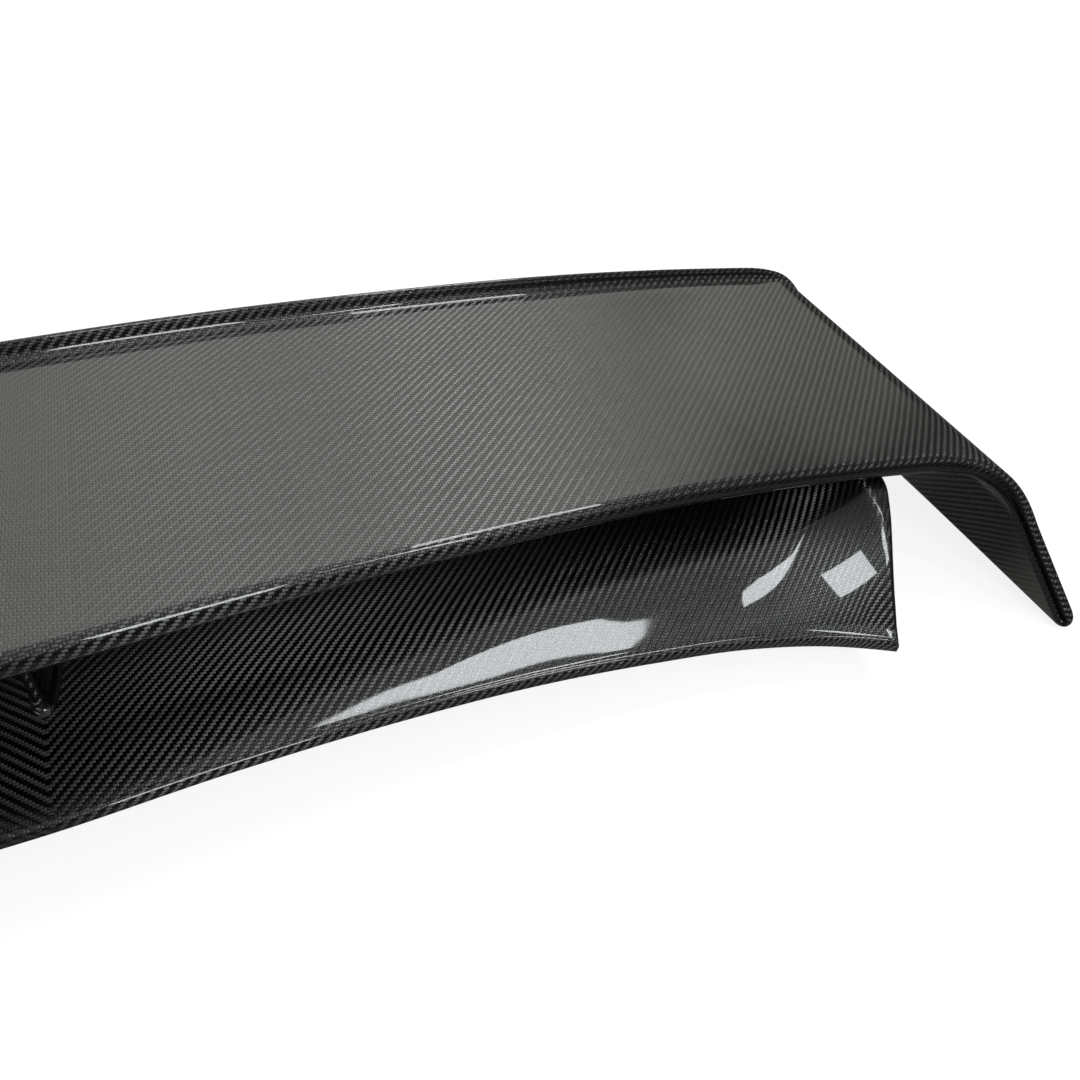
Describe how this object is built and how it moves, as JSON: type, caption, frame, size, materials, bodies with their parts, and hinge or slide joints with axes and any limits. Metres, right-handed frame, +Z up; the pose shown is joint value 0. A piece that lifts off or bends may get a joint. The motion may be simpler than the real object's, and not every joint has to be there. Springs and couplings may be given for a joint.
{
  "type": "racing rear wing",
  "caption": "Fixed carbon-fibre rear wing: an arched blade with a kick-up lip and drooping ends, on a deck base with swept-up ends and a centre post.",
  "frame": {"origin": "bottom centre of the box around the wing: on the centre plane, level with the lower edges of the two drooping ends, on which the wing stands on a bench", "axes": "+X across the car to the right as seen from in front of the wing looking rearward, +Y rearward to the trailing edge, +Z up"},
  "size_m": [1.4072, 0.3726, 0.2016],
  "materials": {
    "gloss_carbon": "clear-coated 2x2 twill carbon laminate, deep gloss",
    "satin_carbon": "uncoated carbon laminate, satin",
    "spar_composite": "moulded composite, matt",
    "aluminium": "machined",
    "stainless_steel": "plain stainless fastener",
    "seal_rubber": "closed-cell foam rubber, matt"
  },
  "bodies": {
    "root": {"access_plug_1": "seal_rubber", "access_plug_2": "seal_rubber", "base_closing_skin": "satin_carbon", "base_upper_shell": "gloss_carbon", "blade_insert_centre": "aluminium", "blade_insert_left": "aluminium", "blade_insert_right": "aluminium", "blade_lower_skin": "gloss_carbon", "blade_upper_skin": "gloss_carbon", "centre_post": "gloss_carbon", "deck_seal_front": "seal_rubber", "deck_seal_rear": "seal_rubber", "end_bolt_left_1": "stainless_steel", "end_bolt_left_2": "stainless_steel", "end_bolt_right_1": "stainless_steel", "end_bolt_right_2": "stainless_steel", "end_bracket_left": "aluminium", "end_bracket_right": "aluminium", "end_washer_left_1": "stainless_steel", "end_washer_left_2": "stainless_steel", "end_washer_right_1": "stainless_steel", "end_washer_right_2": "stainless_steel", "front_spar": "spar_composite", "mounting_pad_1": "aluminium", "mounting_pad_2": "aluminium", "mounting_pad_3": "aluminium", "mounting_pad_4": "aluminium", "mounting_pad_5": "aluminium", "mounting_pad_6": "aluminium", "mounting_stud_1": "stainless_steel", "mounting_stud_2": "stainless_steel", "mounting_stud_3": "stainless_steel", "mounting_stud_4": "stainless_steel", "mounting_stud_5": "stainless_steel", "mounting_stud_6": "stainless_steel", "post_bolt_1": "stainless_steel", "post_bolt_2": "stainless_steel", "post_core": "aluminium", "post_washer_1": "stainless_steel", "post_washer_2": "stainless_steel", "rear_spar": "spar_composite"}
  },
  "joints": []
}
